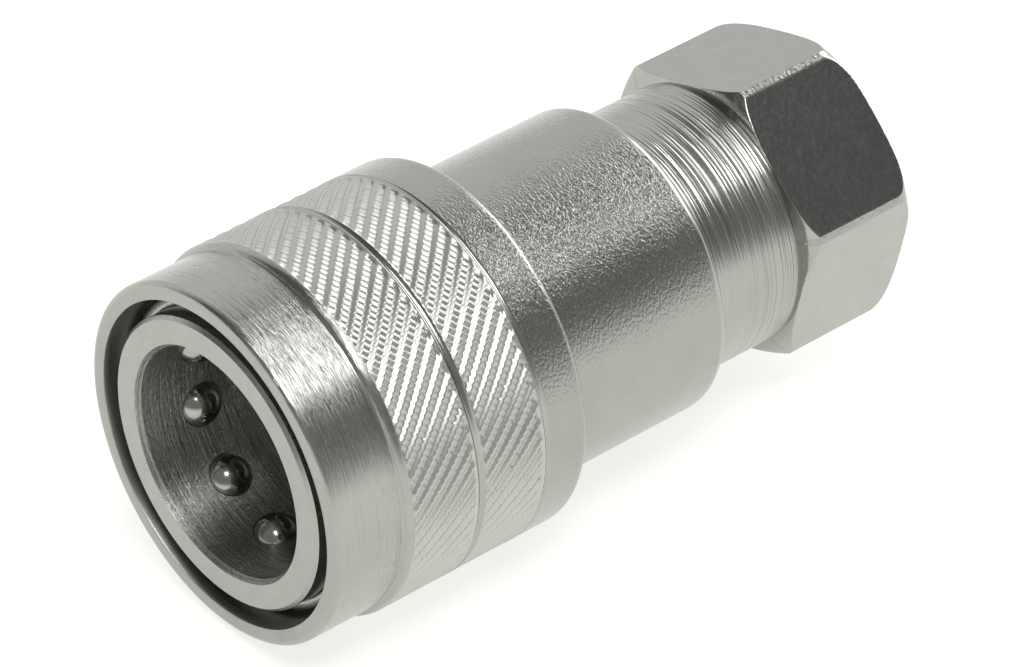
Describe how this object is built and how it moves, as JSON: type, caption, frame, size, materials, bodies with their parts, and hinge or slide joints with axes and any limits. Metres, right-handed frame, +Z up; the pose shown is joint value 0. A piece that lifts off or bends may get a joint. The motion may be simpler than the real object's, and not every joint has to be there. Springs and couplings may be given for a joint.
{
  "type": "hydraulic quick disconnect coupler",
  "caption": "Pull-sleeve quick coupler socket with a knurled sleeve, locking balls in its bore, a sprung poppet valve and a hexagon end with a threaded port.",
  "frame": {"origin": "centre of the mouth, level with the front of the sleeve, where the nipple enters", "axes": "+X along the coupling axis from the mouth to the threaded port, +Z up, as it lies with its axis level"},
  "size_m": [0.0746, 0.038, 0.038],
  "materials": {
    "zinc_body": "zinc plated, turned",
    "zinc_sleeve": "zinc plated, turned and knurled",
    "zinc_adapter": "zinc plated, blasted and turned",
    "ball_steel": "hardened and polished",
    "ring_steel": "drawn spring wire",
    "spring_steel": "drawn spring wire",
    "valve_steel": "zinc plated, turned",
    "rubber": "moulded nitrile",
    "ptfe": "turned fluoropolymer"
  },
  "bodies": {
    "coupler_body": {"socket_body": "zinc_body", "adapter": "zinc_adapter", "sleeve_snap_ring": "ring_steel", "sleeve_spring": "spring_steel", "nipple_seal": "rubber", "nipple_backup_ring": "ptfe", "body_seal": "rubber", "body_backup_ring": "ptfe", "valve_spring": "spring_steel", "valve_guide": "valve_steel"},
    "sleeve": {"locking_sleeve": "zinc_sleeve"},
    "valve": {"poppet": "valve_steel", "poppet_nose": "valve_steel", "poppet_seal": "rubber"},
    "ball_1": {"locking_ball_1": "ball_steel"},
    "ball_2": {"locking_ball_2": "ball_steel"},
    "ball_3": {"locking_ball_3": "ball_steel"},
    "ball_4": {"locking_ball_4": "ball_steel"},
    "ball_5": {"locking_ball_5": "ball_steel"},
    "ball_6": {"locking_ball_6": "ball_steel"},
    "ball_7": {"locking_ball_7": "ball_steel"},
    "ball_8": {"locking_ball_8": "ball_steel"},
    "ball_9": {"locking_ball_9": "ball_steel"},
    "ball_10": {"locking_ball_10": "ball_steel"}
  },
  "joints": [
    {"name": "sleeve_slide", "type": "slide", "parent": "coupler_body", "child": "sleeve", "axis": [1, 0, 0], "range_m": [0, 0.0065], "stiffness_N_per_m": 2500, "springref_m": -0.006, "deforming": ["sleeve_spring"]},
    {"name": "valve_slide", "type": "slide", "parent": "coupler_body", "child": "valve", "axis": [1, 0, 0], "range_m": [0, 0.005], "stiffness_N_per_m": 1500, "springref_m": -0.006, "deforming": ["valve_spring"]},
    {"name": "ball_1_slide", "type": "slide", "parent": "coupler_body", "child": "ball_1", "axis": [0, 0.0349, -0.9994], "range_m": [0, 0.00153]},
    {"name": "ball_2_slide", "type": "slide", "parent": "coupler_body", "child": "ball_2", "axis": [0, 0.6157, -0.788], "range_m": [0, 0.00153]},
    {"name": "ball_3_slide", "type": "slide", "parent": "coupler_body", "child": "ball_3", "axis": [0, 0.9613, -0.2756], "range_m": [0, 0.00153]},
    {"name": "ball_4_slide", "type": "slide", "parent": "coupler_body", "child": "ball_4", "axis": [0, 0.9397, 0.342], "range_m": [0, 0.00153]},
    {"name": "ball_5_slide", "type": "slide", "parent": "coupler_body", "child": "ball_5", "axis": [0, 0.5592, 0.829], "range_m": [0, 0.00153]},
    {"name": "ball_6_slide", "type": "slide", "parent": "coupler_body", "child": "ball_6", "axis": [0, -0.0349, 0.9994], "range_m": [0, 0.00153]},
    {"name": "ball_7_slide", "type": "slide", "parent": "coupler_body", "child": "ball_7", "axis": [0, -0.6157, 0.788], "range_m": [0, 0.00153]},
    {"name": "ball_8_slide", "type": "slide", "parent": "coupler_body", "child": "ball_8", "axis": [0, -0.9613, 0.2756], "range_m": [0, 0.00153]},
    {"name": "ball_9_slide", "type": "slide", "parent": "coupler_body", "child": "ball_9", "axis": [0, -0.9397, -0.342], "range_m": [0, 0.00153]},
    {"name": "ball_10_slide", "type": "slide", "parent": "coupler_body", "child": "ball_10", "axis": [0, -0.5592, -0.829], "range_m": [0, 0.00153]}
  ],
  "couplings": [
    {"joint": "ball_1_slide", "follows": "sleeve_slide", "ratio": 0.2353},
    {"joint": "ball_2_slide", "follows": "sleeve_slide", "ratio": 0.2353},
    {"joint": "ball_3_slide", "follows": "sleeve_slide", "ratio": 0.2353},
    {"joint": "ball_4_slide", "follows": "sleeve_slide", "ratio": 0.2353},
    {"joint": "ball_5_slide", "follows": "sleeve_slide", "ratio": 0.2353},
    {"joint": "ball_6_slide", "follows": "sleeve_slide", "ratio": 0.2353},
    {"joint": "ball_7_slide", "follows": "sleeve_slide", "ratio": 0.2353},
    {"joint": "ball_8_slide", "follows": "sleeve_slide", "ratio": 0.2353},
    {"joint": "ball_9_slide", "follows": "sleeve_slide", "ratio": 0.2353},
    {"joint": "ball_10_slide", "follows": "sleeve_slide", "ratio": 0.2353}
  ]
}
